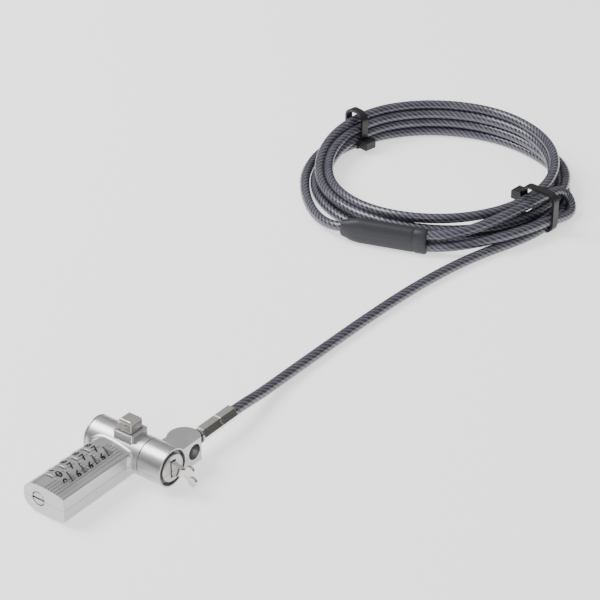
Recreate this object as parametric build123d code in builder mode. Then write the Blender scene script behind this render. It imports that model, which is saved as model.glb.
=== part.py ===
"""Laptop cable lock with four number wheels, a push button and a scissor T-bar.

Units are millimetres. The origin is the centre of the nose face, where the T-bar leaves
the lock. -Y points out of the nose, towards the laptop. +X runs along the number barrel,
towards the cable. +Z is up, through the push button. The lock lies on the plane FLOOR_Z.
"""
from build123d import *
from math import cos, pi, radians, sin, sqrt, tan
import os

os.makedirs("parts", exist_ok=True)

# ---------------------------------------------------------------- clearances
RUN = 0.06  # radial running fit of a shaft in its bore
SLIDE = 0.15  # clearance beside a sliding block
AIR = 0.3  # gap between bodies that pass each other

# ---------------------------------------------------------------- cross cylinder and nose
CYL_R = 7.4
BLEND_R = 1.6
FLOOR_Z = -CYL_R
COLLAR_FACE_Y = 0.35
COLLAR_LEN = 10.3
JOINT_Y = COLLAR_FACE_Y + COLLAR_LEN + AIR
NOSE_R = 5.4
GROOVE_R = 6.85
GROOVE_DEPTH = 2.1
RING_T = 0.7
RING_SEAT_R = NOSE_R - 0.6
RING_R = GROOVE_R - 0.25
RING_Y = COLLAR_FACE_Y + GROOVE_DEPTH - RING_T - 0.1
CAP_T = 0.9
CAP_SPIGOT = 2.0
CAP_WALL = 1.6
RIM_CHAMFER = 0.3

# ---------------------------------------------------------------- number barrel
WHEELS = 4
DIGITS = 10
WHEEL_R = 6.35
WHEEL_W = 5.3
WHEEL_BORE_R = 4.2
WHEEL_SIDE_GAP = 0.2
BRIDGE_W = 0.6
NOTCH_R = 0.45
PITCH = WHEEL_W + 2 * WHEEL_SIDE_GAP + BRIDGE_W
SHOULDER = CYL_R + 3.0
END_WALL = 6.1
CROTCH = 3.35
SIDE_SOLID = 5.55
DIAL_Y = JOINT_Y + CROTCH + SIDE_SOLID + WHEEL_R
DIAL_Z = -0.6
PART_Z = DIAL_Z - 0.5
WALL_FRONT_Y = JOINT_Y + CROTCH
WALL_REAR_Y = DIAL_Y + WHEEL_R + 0.5
CYL_END_Y = WALL_REAR_Y + BLEND_R + 0.6
FIRST_SLOT_X = -(SHOULDER + WHEELS * PITCH - BRIDGE_W)
END_X = FIRST_SLOT_X - END_WALL
WHEEL_X = [FIRST_SLOT_X + WHEEL_SIDE_GAP + WHEEL_W / 2 + i * PITCH for i in range(WHEELS)]
WHEEL_PROUD = 0.65
CROWN_R = 62.0
CROWN_Y = DIAL_Y - 0.8
CROWN_Z = DIAL_Z + WHEEL_R - WHEEL_PROUD
BOTTOM_Z = DIAL_Z - WHEEL_R + 0.2
WINDOW_Y = DIAL_Y - 5.7
WINDOW_LIP_Y = DIAL_Y - 7.9  # where the window's sloped front meets the crown
WINDOW_TOE_Z = DIAL_Z + 2.0
RIB_COUNT = 6
RIB_STEP = 1.38
RIB_W = 0.72
RIB_H = 0.36
RIB_LAST_Y = WALL_FRONT_Y + 2.1
EDGE_R = 0.9

# ---------------------------------------------------------------- code cams and dial shaft
TRAVEL = 1.8
SHAFT_R = 2.0
FIN_R = 3.1
FIN_T = 1.0
FIN_W = 1.0
PARK_R = FIN_R + 0.2
GATE_W = FIN_W + 2 * SLIDE
FIN_AT = 3.55  # from a wheel's outer face to its fin, with the shaft at rest
GATE_SHARE = FIN_AT - TRAVEL - 0.35
KEY_W = 1.0
KEY_H = 0.6
TIP_R = 1.2

# ---------------------------------------------------------------- push button
BUTTON_Y = JOINT_Y + 8.55
BUTTON_W = 6.2
BUTTON_TOP_Z = CYL_R + 6.2
FRAME_W = 9.0
FRAME_TOP_Z = CYL_R + 1.7
FLANGE_W = BUTTON_W + 1.2
FLANGE_TOP_Z = 4.3
FLANGE_T = 1.0
WELL_FLOOR_Z = FLANGE_TOP_Z - FLANGE_T - TRAVEL - AIR
FOOT_HALF = 1.2
FOOT_FRONT_Y = BUTTON_Y - 2.8
FOOT_REAR_Y = BUTTON_Y - 1.1
SPRING_Y = BUTTON_Y + 1.1
SPRING_R = 1.3
SPRING_WIRE = 0.36
SPRING_TURNS = 5
SPRING_BORE_R = SPRING_R + SPRING_WIRE / 2 + 0.2
SPRING_TOP_Z = FLANGE_TOP_Z + 3.0

# ---------------------------------------------------------------- T-bar hooks
SLOT_W = 3.0
SLOT_H = 6.9
HOOK_T = 1.15
HOOK_GAP = 0.1
PIVOT_Y = 5.2
PIVOT_R = 0.75
CAVITY_H = 8.6
CAVITY_START_Y = 3.0
CAVITY_END_Y = JOINT_Y + 3.65
LOBE_Y = -8.3
LOBE_Z = 2.7
LOBE_R = 1.85

# ---------------------------------------------------------------- actuator slide
CHANNEL_HALF = 2.0
CHANNEL_TOP_Z = 0.7
CHANNEL_LOW_Z = -3.8
CHANNEL_END_Y = DIAL_Y + 4.3
BAR_HALF = CHANNEL_HALF - 0.2
BAR_TOP_Z = CHANNEL_TOP_Z - AIR
BAR_LOW_Z = CHANNEL_LOW_Z + 0.2
NECK_HALF = 1.2
RAMP_GAP = 0.2

# ---------------------------------------------------------------- collar lug, stem, ferrule
TILT = 0.0  # degrees the lug, stem and ferrule point below level
LUG_X = 12.2
LUG_R = 6.2
LUG_Y = 5.3
LUG_TOP = 4.5
LUG_LOW = -5.3
STEM_Y = 5.6
SOCKET_X = 12.1
SOCKET_R = 3.1
HEAD_R = 2.6
STEM_R = 1.5
STEM_WALL_X = LUG_X + LUG_R
WASHER_R = 2.9
WASHER_T = 0.7
SHOULDER_RING_R = 2.5
FERRULE_X = STEM_WALL_X + 3.0
FERRULE_LEN = 18.6
FERRULE_AF = 5.2
FERRULE_GROOVE = 0.25
STEM_TAIL = 4.5

# ---------------------------------------------------------------- cable, coil, eye and ties
CABLE_D = 4.4
CABLE_R = CABLE_D / 2
LIE_Z = FLOOR_Z + CABLE_R
COIL_C = (244.3, 51.5)
COIL_IN_R = 48.6
COIL_OUT_R = 58.0
COIL_TOP_Z = FLOOR_Z + 4 * CABLE_D
COIL_EDGE = 4.0
SLEEVE_FROM = (179.5, 57.5)
SLEEVE_TO = (191.0, 21.0)
SLEEVE_W = 7.4
SLEEVE_H = 11.4
SLEEVE_TAPER = 7.0
STRAND_LOW_Z = FLOOR_Z + SLEEVE_H / 2 - 2.9
STRAND_HIGH_Z = FLOOR_Z + SLEEVE_H / 2 + 2.9
TIE_T = 1.1
TIE_W = 3.6
TIE_HEAD = (5.6, 5.0, 4.2)


def save(builder, label):
    """Label a finished piece and write it as its own STEP file."""
    builder.part.label = label
    export_step(builder.part, f"parts/{label}.step")


def crown_z(y):
    """Height of the barrel's crowned top at a distance y behind the nose face."""
    return CROWN_Z - CROWN_R + sqrt(CROWN_R**2 - (y - CROWN_Y) ** 2)


def across(y):
    """Sketch plane across the Y axis at y, with local axes +X and +Z."""
    return Plane.XZ.offset(-y)


# Frames that follow the tilted lug: x along the stem, and the same Y.
STEM_DIR = Vector(cos(radians(TILT)), 0, -sin(radians(TILT)))
RISE_DIR = Vector(sin(radians(TILT)), 0, cos(radians(TILT)))
LUG_PLAN = Plane(origin=(0, 0, 0), x_dir=STEM_DIR, z_dir=RISE_DIR)


def lug_across(y):
    """Tilted sketch plane across the Y axis, with local axes along the stem and up."""
    return Plane(origin=(0, y, 0), x_dir=STEM_DIR, z_dir=(0, -1, 0))


def stem_section(x):
    """Plane across the stem at a distance x from the nose axis, local +Y and up."""
    return Plane(origin=STEM_DIR * x + Vector(0, STEM_Y, 0), x_dir=(0, 1, 0), z_dir=STEM_DIR)


# ================================================================ housing, cut whole, then split
top_front = (WALL_FRONT_Y, crown_z(WALL_FRONT_Y))
top_rear = (DIAL_Y + 0.2, crown_z(DIAL_Y + 0.2))
rear_high = (WALL_REAR_Y, DIAL_Z + 0.35 * WHEEL_R)
rear_low = (WALL_REAR_Y, DIAL_Z - 0.36 * WHEEL_R)
belly_rear = (DIAL_Y + 2.8, BOTTOM_Z + 0.45)
belly_front = (WALL_FRONT_Y, BOTTOM_Z + 0.85)
toe_y = DIAL_Y - sqrt((WHEEL_R + AIR) ** 2 - (WINDOW_TOE_Z - DIAL_Z) ** 2)
lip_z = crown_z(WINDOW_LIP_Y)
lip_run = (toe_y - WINDOW_LIP_Y) / (lip_z - WINDOW_TOE_Z)
window_slope = [
    (toe_y, WINDOW_TOE_Z),
    (WINDOW_LIP_Y - 2.0 * lip_run, lip_z + 2.0),
    (DIAL_Y, lip_z + 2.0),
    (DIAL_Y, WINDOW_TOE_Z),
]

with BuildPart() as housing:
    with BuildSketch(Plane.YZ.offset(END_X)) as barrel_section:
        with BuildLine():
            Line(belly_front, top_front)
            ThreePointArc(top_front, (CROWN_Y, CROWN_Z), top_rear)
            ThreePointArc(top_rear, (DIAL_Y + 4.5, DIAL_Z + 0.72 * WHEEL_R), rear_high)
            Line(rear_high, rear_low)
            ThreePointArc(rear_low, (WALL_REAR_Y - 1.3, BOTTOM_Z + 1.8), belly_rear)
            ThreePointArc(belly_rear, (DIAL_Y - 4.6, BOTTOM_Z), belly_front)
        make_face()
        fillet(barrel_section.vertices().group_by(Axis.X)[0], EDGE_R)
    extrude(amount=-END_X)
    with BuildSketch(across(JOINT_Y)):
        Circle(CYL_R)
    extrude(amount=-(CYL_END_Y - JOINT_Y))
    # blended corner between the barrel's walls and the cross cylinder
    seams = housing.edges().filter_by(
        lambda e: abs(sqrt(e.center().X ** 2 + e.center().Z ** 2) - CYL_R) < 0.4
        and e.center().X < -2
        and WALL_FRONT_Y - 0.1 < e.center().Y < WALL_REAR_Y + 0.1
    )
    fillet(seams, BLEND_R)
    # nose spigot that the collar turns on, with its ring seat
    with BuildSketch(across(0)):
        Circle(NOSE_R)
    extrude(amount=-JOINT_Y)
    chamfer(housing.faces().sort_by(Axis.Y)[0].outer_wire().edges(), RIM_CHAMFER)
    with BuildSketch(across(RING_Y)):
        Circle(NOSE_R + 1)
        Circle(RING_SEAT_R, mode=Mode.SUBTRACT)
    extrude(amount=-RING_T, mode=Mode.SUBTRACT)
    chamfer(housing.faces().sort_by(Axis.Y)[-1].outer_wire().edges(), RIM_CHAMFER)
    # raised square frame around the button
    with BuildSketch(Plane.XY.offset(FLANGE_TOP_Z)):
        with Locations((0, BUTTON_Y)):
            RectangleRounded(FRAME_W, FRAME_W, 0.9)
    extrude(amount=FRAME_TOP_Z - FLANGE_TOP_Z)
    chamfer(housing.faces().sort_by(Axis.Z)[-1].edges(), 0.3)
    # grip ribs along the barrel's crown
    for i in range(RIB_COUNT):
        rib_y = RIB_LAST_Y + i * RIB_STEP
        with BuildSketch(Plane.YZ.offset(END_X)):
            with Locations((rib_y, crown_z(rib_y) - 0.3)):
                RectangleRounded(RIB_W, 2 * (RIB_H + 0.3), RIB_W / 2 - 0.05)
        extrude(amount=-END_X - CYL_R - 0.6)

    # wheel slots, and the windows that open them to the top and the rear
    for x in WHEEL_X:
        with BuildSketch(Plane.YZ.offset(x)):
            with Locations((DIAL_Y, DIAL_Z)):
                Circle(WHEEL_R + AIR)
        extrude(amount=WHEEL_W / 2 + WHEEL_SIDE_GAP, both=True, mode=Mode.SUBTRACT)
        with BuildSketch(Plane.YZ.offset(x)):
            with Locations((WINDOW_Y, PART_Z)):
                Rectangle(20, 20, align=(Align.MIN, Align.MIN))
        extrude(amount=WHEEL_W / 2 + WHEEL_SIDE_GAP, both=True, mode=Mode.SUBTRACT)
        with BuildSketch(Plane.YZ.offset(x)):
            with BuildLine():
                Polyline(*window_slope, close=True)
            make_face()
        extrude(amount=WHEEL_W / 2 + WHEEL_SIDE_GAP, both=True, mode=Mode.SUBTRACT)
    # bore of the dial shaft through the bridges and the shoulder
    with BuildSketch(Plane.YZ.offset(FIRST_SLOT_X - 2.6)):
        with Locations((DIAL_Y, DIAL_Z)):
            Circle(SHAFT_R + 0.1)
    extrude(amount=WHEELS * PITCH + 2.6 + 1.0, mode=Mode.SUBTRACT)
    with BuildSketch(Plane.YZ.offset(-SHOULDER)):
        with Locations((DIAL_Y, DIAL_Z)):
            Circle(TIP_R + 0.3 + RUN)
    extrude(amount=SHOULDER - CHANNEL_HALF, mode=Mode.SUBTRACT)
    # stepped bore of the reset screw in the end wall
    for bore_r, start, end in (
        (2.9, END_X, END_X + 1.5),
        (1.76, END_X + 1.5, END_X + 2.9),
        (2.6, END_X + 2.9, FIRST_SLOT_X),
    ):
        with BuildSketch(Plane.YZ.offset(start)):
            with Locations((DIAL_Y, DIAL_Z)):
                Circle(bore_r)
        extrude(amount=end - start, mode=Mode.SUBTRACT)
    # pocket of the click spring beside the wheels
    with BuildSketch(Plane.YZ.offset(FIRST_SLOT_X)):
        with Locations((DIAL_Y - WHEEL_R - 2.45, DIAL_Z)):
            Rectangle(2.6, 4.0, align=(Align.MIN, Align.CENTER))
    extrude(amount=WHEELS * PITCH - BRIDGE_W, mode=Mode.SUBTRACT)
    # nose slot, hook cavity and actuator channel
    with BuildSketch(across(0)):
        Rectangle(SLOT_W, SLOT_H)
    extrude(amount=-CAVITY_END_Y, mode=Mode.SUBTRACT)
    with BuildSketch(across(CAVITY_START_Y)):
        Rectangle(SLOT_W, CAVITY_H)
    extrude(amount=-(CAVITY_END_Y - CAVITY_START_Y), mode=Mode.SUBTRACT)
    with BuildSketch(across(CAVITY_END_Y)):
        with Locations((0, CHANNEL_LOW_Z)):
            Rectangle(2 * CHANNEL_HALF, CHANNEL_TOP_Z - CHANNEL_LOW_Z, align=(Align.CENTER, Align.MIN))
    extrude(amount=-(CHANNEL_END_Y - CAVITY_END_Y), mode=Mode.SUBTRACT)
    # button well: opening, wider flange chamber, and the slit for the foot
    with BuildSketch(Plane.XY.offset(FRAME_TOP_Z)):
        with Locations((0, BUTTON_Y)):
            Rectangle(BUTTON_W + 2 * SLIDE, BUTTON_W + 2 * SLIDE)
    extrude(amount=FLANGE_TOP_Z - FRAME_TOP_Z, mode=Mode.SUBTRACT)
    with BuildSketch(Plane.XY.offset(FLANGE_TOP_Z + 0.1)):
        with Locations((0, BUTTON_Y)):
            Rectangle(FLANGE_W + 2 * SLIDE, FLANGE_W + 2 * SLIDE)
    extrude(amount=WELL_FLOOR_Z - FLANGE_TOP_Z - 0.1, mode=Mode.SUBTRACT)
    with BuildSketch(Plane.XY.offset(WELL_FLOOR_Z + 0.1)):
        with Locations((0, (FOOT_FRONT_Y + FOOT_REAR_Y) / 2)):
            Rectangle(2 * (FOOT_HALF + SLIDE), FOOT_REAR_Y - FOOT_FRONT_Y + 2 * SLIDE)
    extrude(amount=CHANNEL_TOP_Z - WELL_FLOOR_Z - 0.2, mode=Mode.SUBTRACT)
    # rear bore for the cap's spigot
    with BuildSketch(across(CYL_END_Y)):
        Circle(CYL_R - CAP_WALL)
    extrude(amount=CAP_SPIGOT, mode=Mode.SUBTRACT)

# ---------------------------------------------------------------- small fixed pieces in the housing
PIN_LEN = SLOT_W + 3.2
with BuildPart() as hook_pin:
    with BuildSketch(Plane.YZ):
        with Locations((PIVOT_Y, 0)):
            Circle(PIVOT_R)
    extrude(amount=PIN_LEN / 2, both=True)

FRAME_PIN_R = 0.55
frame_pin_at = (-(FRAME_W + BUTTON_W) / 4 - 0.08, BUTTON_Y - (FRAME_W + BUTTON_W) / 4 - 0.08)
with BuildPart() as frame_pin:
    with BuildSketch(Plane.XY.offset(FRAME_TOP_Z - 2.4)):
        with Locations(frame_pin_at):
            Circle(FRAME_PIN_R)
    extrude(amount=2.6)
    chamfer(frame_pin.faces().sort_by(Axis.Z)[-1].edges(), 0.12)

SCREW_R = 0.75
SCREW_HEAD_R = 1.3
SCREW_HEAD_Z = BOTTOM_Z + 1.1
SCREW_HEAD_T = 1.0
SCREW_TOP_Z = 2.0
SCREW_SPOTS = [
    (END_X + 2.6, WALL_FRONT_Y + 2.7),
    (-SHOULDER + 3.8, WALL_FRONT_Y + 2.6),
    (-SHOULDER + 3.8, WALL_REAR_Y - 2.6),
]
with BuildPart() as shell_screws:
    with BuildSketch(Plane.XY.offset(SCREW_HEAD_Z)):
        with Locations(SCREW_SPOTS):
            Circle(SCREW_HEAD_R)
    extrude(amount=SCREW_HEAD_T)
    with BuildSketch(Plane.XY.offset(SCREW_HEAD_Z + SCREW_HEAD_T)):
        with Locations(SCREW_SPOTS):
            Circle(SCREW_R)
    extrude(amount=SCREW_TOP_Z - SCREW_HEAD_Z - SCREW_HEAD_T)
    with BuildSketch(Plane.XY.offset(SCREW_HEAD_Z)):
        with Locations(SCREW_SPOTS):
            Rectangle(1.6, 0.4)
            Rectangle(0.4, 1.6)
    extrude(amount=0.5, mode=Mode.SUBTRACT)

with BuildPart(mode=Mode.PRIVATE) as screw_holes:
    with BuildSketch(Plane.XY.offset(BOTTOM_Z - 1)):
        with Locations(SCREW_SPOTS):
            Circle(SCREW_HEAD_R)
    extrude(amount=SCREW_HEAD_Z + SCREW_HEAD_T - BOTTOM_Z + 1)
    with BuildSketch(Plane.XY.offset(SCREW_HEAD_Z + SCREW_HEAD_T)):
        with Locations(SCREW_SPOTS):
            Circle(SCREW_R)
    extrude(amount=SCREW_TOP_Z - SCREW_HEAD_Z - SCREW_HEAD_T)

with BuildPart() as upper_shell:
    add(housing.part)
    add(hook_pin.part, mode=Mode.SUBTRACT)
    add(frame_pin.part, mode=Mode.SUBTRACT)
    add(screw_holes.part, mode=Mode.SUBTRACT)
    split(bisect_by=Plane.XY.offset(PART_Z), keep=Keep.TOP)

with BuildPart() as lower_shell:
    add(housing.part)
    add(screw_holes.part, mode=Mode.SUBTRACT)
    split(bisect_by=Plane.XY.offset(PART_Z), keep=Keep.BOTTOM)

with BuildPart() as rear_cap:
    with BuildSketch(across(CYL_END_Y)):
        Circle(CYL_R)
    extrude(amount=-CAP_T)
    chamfer(rear_cap.edges().filter_by(GeomType.CIRCLE), RIM_CHAMFER)
    with BuildSketch(across(CYL_END_Y)):
        Circle(CYL_R - CAP_WALL)
    extrude(amount=CAP_SPIGOT)

with BuildPart() as retaining_ring:
    with BuildSketch(across(RING_Y)):
        Circle(RING_R)
        Circle(RING_SEAT_R, mode=Mode.SUBTRACT)
        with Locations((0, -RING_R)):
            Rectangle(3.2, 2 * (RING_R - RING_SEAT_R) + 0.6, mode=Mode.SUBTRACT)
    extrude(amount=-RING_T)

LEAF_T = 0.3
LEAF_BACK_Y = DIAL_Y - WHEEL_R - 2.45
with BuildPart() as click_spring:
    with BuildSketch(Plane.YZ.offset(FIRST_SLOT_X + 0.3)):
        with Locations((LEAF_BACK_Y, DIAL_Z)):
            Rectangle(LEAF_T, 3.2, align=(Align.MIN, Align.CENTER))
    extrude(amount=WHEELS * PITCH - BRIDGE_W - 0.6)
    for x in WHEEL_X:
        with BuildSketch(Plane.YZ.offset(x)):
            with Locations((LEAF_BACK_Y + 1.25, DIAL_Z)):
                Circle(0.9)
            with Locations((LEAF_BACK_Y, DIAL_Z)):
                Rectangle(1.2, 1.0, align=(Align.MIN, Align.CENTER))
        extrude(amount=1.5, both=True)

for builder, label in (
    (upper_shell, "upper_shell"),
    (lower_shell, "lower_shell"),
    (rear_cap, "rear_cap"),
    (retaining_ring, "retaining_ring"),
    (hook_pin, "hook_pin"),
    (frame_pin, "frame_pin"),
    (shell_screws, "shell_screws"),
    (click_spring, "click_spring"),
):
    save(builder, label)

# ================================================================ number wheels, code cams, shaft
for i, x in enumerate(WHEEL_X):
    with BuildPart() as dial_wheel:
        with BuildSketch(Plane.YZ.offset(x)):
            with Locations((DIAL_Y, DIAL_Z)):
                Circle(WHEEL_R)
        extrude(amount=WHEEL_W / 2, both=True)
        chamfer(dial_wheel.edges().filter_by(GeomType.CIRCLE), 0.25)
        with BuildSketch(Plane.YZ.offset(x)):
            with Locations((DIAL_Y, DIAL_Z)):
                Circle(WHEEL_BORE_R)
                with PolarLocations(WHEEL_R + 0.15, DIGITS):
                    Circle(NOTCH_R)
                with Locations((0, -WHEEL_BORE_R)):
                    Rectangle(KEY_W, 2 * KEY_H)
        extrude(amount=WHEEL_W / 2, both=True, mode=Mode.SUBTRACT)
    save(dial_wheel, f"dial_wheel_{i + 1}")

    with BuildPart() as code_cam:
        with BuildSketch(Plane.YZ.offset(x)):
            with Locations((DIAL_Y, DIAL_Z)):
                Circle(WHEEL_BORE_R)
                with Locations((0, -WHEEL_BORE_R)):
                    Rectangle(KEY_W, 2 * KEY_H)
                Circle(SHAFT_R + RUN, mode=Mode.SUBTRACT)
                with Locations((0, SHAFT_R)):
                    Rectangle(GATE_W, PARK_R - SHAFT_R, align=(Align.CENTER, Align.MIN), mode=Mode.SUBTRACT)
        extrude(amount=WHEEL_W / 2, both=True)
        with BuildSketch(Plane.YZ.offset(x - WHEEL_W / 2 + GATE_SHARE)):
            with Locations((DIAL_Y, DIAL_Z)):
                Circle(PARK_R)
        extrude(amount=WHEEL_W - GATE_SHARE, mode=Mode.SUBTRACT)
    save(code_cam, f"code_cam_{i + 1}")

TIP_X = 1.0
CHAMFER_SUM = TIP_X + DIAL_Y - 0.8  # the tip's slanted face lies on x + y = this
with BuildPart() as dial_shaft:
    with BuildSketch(Plane.YZ.offset(FIRST_SLOT_X + 0.4)):
        with Locations((DIAL_Y, DIAL_Z)):
            Circle(SHAFT_R)
    extrude(amount=-SHOULDER - FIRST_SLOT_X - 0.4 + 0.9)
    with BuildSketch(Plane.YZ.offset(-SHOULDER)):
        with Locations((DIAL_Y, DIAL_Z)):
            Circle(TIP_R)
    extrude(amount=SHOULDER + TIP_X)
    for x in WHEEL_X:
        with BuildSketch(Plane.YZ.offset(x - WHEEL_W / 2 + FIN_AT)):
            with Locations((DIAL_Y, DIAL_Z)):
                Rectangle(FIN_W, FIN_R, align=(Align.CENTER, Align.MIN))
        extrude(amount=FIN_T)
    with BuildSketch(Plane.XY.offset(DIAL_Z)):
        with BuildLine():
            Polyline(
                (TIP_X + 3, CHAMFER_SUM - TIP_X - 3),
                (TIP_X + 3, CHAMFER_SUM + 6),
                (CHAMFER_SUM - DIAL_Y - 6, DIAL_Y + 6),
                close=True,
            )
        make_face()
    extrude(amount=TIP_R + 1, both=True, mode=Mode.SUBTRACT)
save(dial_shaft, "dial_shaft")

SCREW_SLOT_W = 0.8
with BuildPart() as reset_screw:
    for screw_r, start, end in (
        (2.7, END_X, END_X + 1.44),
        (1.7, END_X + 1.44, END_X + 2.96),
        (2.4, END_X + 2.96, END_X + 3.4),
    ):
        with BuildSketch(Plane.YZ.offset(start)):
            with Locations((DIAL_Y, DIAL_Z)):
                Circle(screw_r)
        extrude(amount=end - start)
    chamfer(reset_screw.faces().sort_by(Axis.X)[0].edges(), 0.3)
    with BuildSketch(Plane.YZ.offset(END_X)):
        with Locations((DIAL_Y, DIAL_Z)):
            Rectangle(6, SCREW_SLOT_W)
    extrude(amount=0.8, mode=Mode.SUBTRACT)
save(reset_screw, "reset_screw")

# ================================================================ button, spring, actuator, hooks
DOME = 0.7
with BuildPart() as push_button:
    with BuildSketch(Plane.XY.offset(FLANGE_TOP_Z)):
        with Locations((0, BUTTON_Y)):
            Rectangle(BUTTON_W, BUTTON_W)
    extrude(amount=BUTTON_TOP_Z - FLANGE_TOP_Z)
    chamfer(push_button.faces().sort_by(Axis.Z)[-1].edges(), DOME)
    fillet(push_button.edges().filter_by(lambda e: e.center().Z > FRAME_TOP_Z - 2), 0.3)
    with BuildSketch(Plane.XY.offset(FLANGE_TOP_Z)):
        with Locations((0, BUTTON_Y)):
            Rectangle(FLANGE_W, FLANGE_W)
    extrude(amount=-FLANGE_T)
    with BuildSketch(Plane.YZ):
        with BuildLine():
            Polyline(
                (FOOT_FRONT_Y, FLANGE_TOP_Z - FLANGE_T),
                (FOOT_FRONT_Y, WELL_FLOOR_Z - 0.1),
                (FOOT_REAR_Y, WELL_FLOOR_Z - 0.1 - (FOOT_REAR_Y - FOOT_FRONT_Y)),
                (FOOT_REAR_Y, FLANGE_TOP_Z - FLANGE_T),
                close=True,
            )
        make_face()
    extrude(amount=FOOT_HALF, both=True)
    with BuildSketch(Plane.XY.offset(FLANGE_TOP_Z - FLANGE_T)):
        with Locations((0, SPRING_Y)):
            Circle(SPRING_BORE_R)
    extrude(amount=SPRING_TOP_Z - FLANGE_TOP_Z + FLANGE_T, mode=Mode.SUBTRACT)
save(push_button, "push_button")

spring_low = WELL_FLOOR_Z + SPRING_WIRE / 2
spring_high = SPRING_TOP_Z - SPRING_WIRE / 2
with BuildPart() as button_spring:
    with BuildLine():
        Helix(
            pitch=(spring_high - spring_low) / SPRING_TURNS,
            height=spring_high - spring_low,
            radius=SPRING_R,
            center=(0, SPRING_Y, spring_low),
        )
    with BuildSketch(Plane(origin=(SPRING_R, SPRING_Y, spring_low), x_dir=(1, 0, 0), z_dir=(0, 1, 0))):
        Circle(SPRING_WIRE / 2)
    sweep(is_frenet=True)
save(button_spring, "button_spring")

RAMP_SUM = FOOT_FRONT_Y + WELL_FLOOR_Z - 0.1 - RAMP_GAP * sqrt(2)
RAMP_TOP_Y = RAMP_SUM - BAR_TOP_Z
RAMP_LOW_Z = BAR_LOW_Z + 1.0
NOTCH_END_Y = FOOT_REAR_Y + TRAVEL + 0.4
WEDGE_TIP_Y = 11.4
WEDGE_RISE = 0.55
WEDGE_END_Y = CAVITY_END_Y - 0.5
BLOCK_SUM = CHAMFER_SUM + RAMP_GAP * sqrt(2)
BAR_START_Y = CAVITY_END_Y + TRAVEL + 0.15
BAR_END_Y = CHANNEL_END_Y - 0.3
SHAFT_PASS_Y = DIAL_Y - TIP_R - 0.3
wedge_half = 0.1 + (WEDGE_END_Y - WEDGE_TIP_Y) * WEDGE_RISE
with BuildPart() as actuator:
    # wedge that parts the hooks' tails, and its neck
    with BuildSketch(Plane.YZ):
        with BuildLine():
            Polyline(
                (WEDGE_TIP_Y, 0.1),
                (WEDGE_END_Y, wedge_half),
                (WEDGE_END_Y, BAR_TOP_Z),
                (BAR_START_Y, BAR_TOP_Z),
                (BAR_START_Y, -wedge_half),
                (WEDGE_END_Y, -wedge_half),
                (WEDGE_TIP_Y, -0.1),
                close=True,
            )
        make_face()
    extrude(amount=NECK_HALF, both=True)
    # bar with the ramp that the button's foot presses
    with BuildSketch(Plane.YZ):
        with BuildLine():
            Polyline(
                (BAR_START_Y, BAR_TOP_Z),
                (RAMP_TOP_Y, BAR_TOP_Z),
                (RAMP_SUM - RAMP_LOW_Z, RAMP_LOW_Z),
                (NOTCH_END_Y, RAMP_LOW_Z),
                (NOTCH_END_Y, BAR_TOP_Z),
                (BAR_END_Y, BAR_TOP_Z),
                (BAR_END_Y, BAR_LOW_Z),
                (BAR_START_Y, BAR_LOW_Z),
                close=True,
            )
        make_face()
    extrude(amount=BAR_HALF, both=True)
    # room for the shaft's tip, leaving a strap and the slanted block behind it
    with BuildSketch(Plane.XY.offset(BAR_TOP_Z)):
        with BuildLine():
            Polyline(
                (-BAR_HALF - 1, SHAFT_PASS_Y),
                (TIP_X + SLIDE, SHAFT_PASS_Y),
                (TIP_X + SLIDE, BLOCK_SUM - TIP_X - SLIDE),
                (-BAR_HALF - 1, BLOCK_SUM + BAR_HALF + 1),
                close=True,
            )
        make_face()
    extrude(amount=BAR_LOW_Z - BAR_TOP_Z, mode=Mode.SUBTRACT)
save(actuator, "actuator")


def hook_outline(side):
    """Plate outline of a hook: side +1 has its lobe up, -1 has its lobe down."""
    plate = [
        (12.4, 0.75),
        (12.4, 2.3),
        (7.5, 2.9),
        (0.0, 3.0),
        (-4.4, 1.9),
        (-5.4, 2.2),
        (LOBE_Y, LOBE_Z + 0.6),
        (-9.3, 1.5),
        (-3.7, -1.3),
        (0.0, -2.6),
        (4.4, -2.6),
        (8.4, 0.75),
    ]
    return [(y, side * z) for y, z in plate]


for side, label in ((1, "hook_upper"), (-1, "hook_lower")):
    plate_x = -side * (HOOK_GAP + HOOK_T) / 2
    with BuildPart() as hook:
        with BuildSketch(Plane.YZ.offset(plate_x)):
            with BuildLine():
                Polyline(*hook_outline(side), close=True)
            make_face()
            with Locations((LOBE_Y, side * LOBE_Z)):
                Circle(LOBE_R)
            with Locations((PIVOT_Y, 0)):
                Circle(PIVOT_R + RUN, mode=Mode.SUBTRACT)
        extrude(amount=HOOK_T / 2, both=True)
    save(hook, label)

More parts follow.
